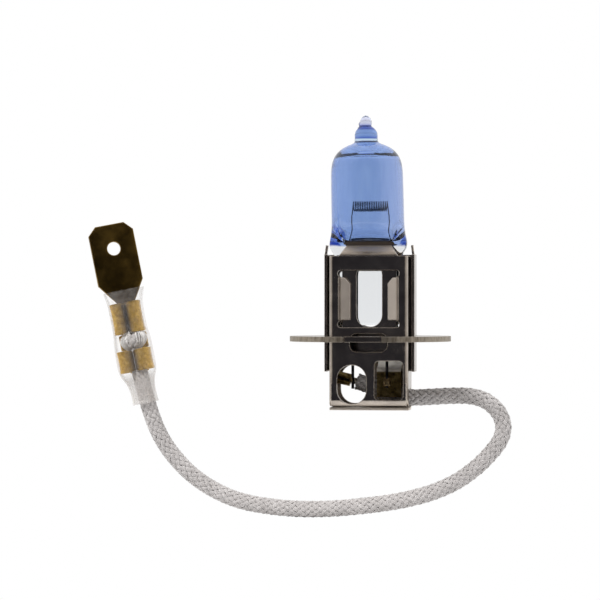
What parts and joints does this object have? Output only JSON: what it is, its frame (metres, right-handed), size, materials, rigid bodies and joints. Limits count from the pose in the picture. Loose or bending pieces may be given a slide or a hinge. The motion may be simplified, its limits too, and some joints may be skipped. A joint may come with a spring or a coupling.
{
  "type": "headlight bulb",
  "caption": "Single-filament halogen headlight bulb: blue-coated glass in a sheet-metal base with a 22 mm locating flange, braided lead and blade terminal.",
  "frame": {"origin": "on the bulb's axis at the flange's glass-side face", "axes": "+Z along the bulb's axis towards the glass tip, -Y the front with the weld window, +X the side where the lead leaves"},
  "size_m": [0.0583, 0.0217, 0.055],
  "materials": {
    "blue_glass": "gloss, blue-coated",
    "tungsten": "satin",
    "molybdenum": "satin",
    "nickel_plate": "bright nickel plate",
    "bronze": "dull, heat-tinted",
    "tinned_copper": "satin strands",
    "glass_braid": "woven glass fibre",
    "brass": "tarnished",
    "clear_plastic": "clear, soft gloss"
  },
  "bodies": {
    "root": {"glass_bulb": "blue_glass", "filament": "tungsten", "foil_live": "molybdenum", "foil_ground": "molybdenum", "lead_out_live": "molybdenum", "lead_out_ground": "molybdenum", "pinch_clip_front": "nickel_plate", "pinch_clip_rear": "nickel_plate", "front_shell": "nickel_plate", "rear_shell": "nickel_plate", "flange": "nickel_plate", "ground_strap": "bronze", "live_ferrule": "bronze", "lead_conductor": "tinned_copper", "lead_braid": "glass_braid", "spade_terminal": "brass", "terminal_sleeve": "clear_plastic"}
  },
  "joints": []
}
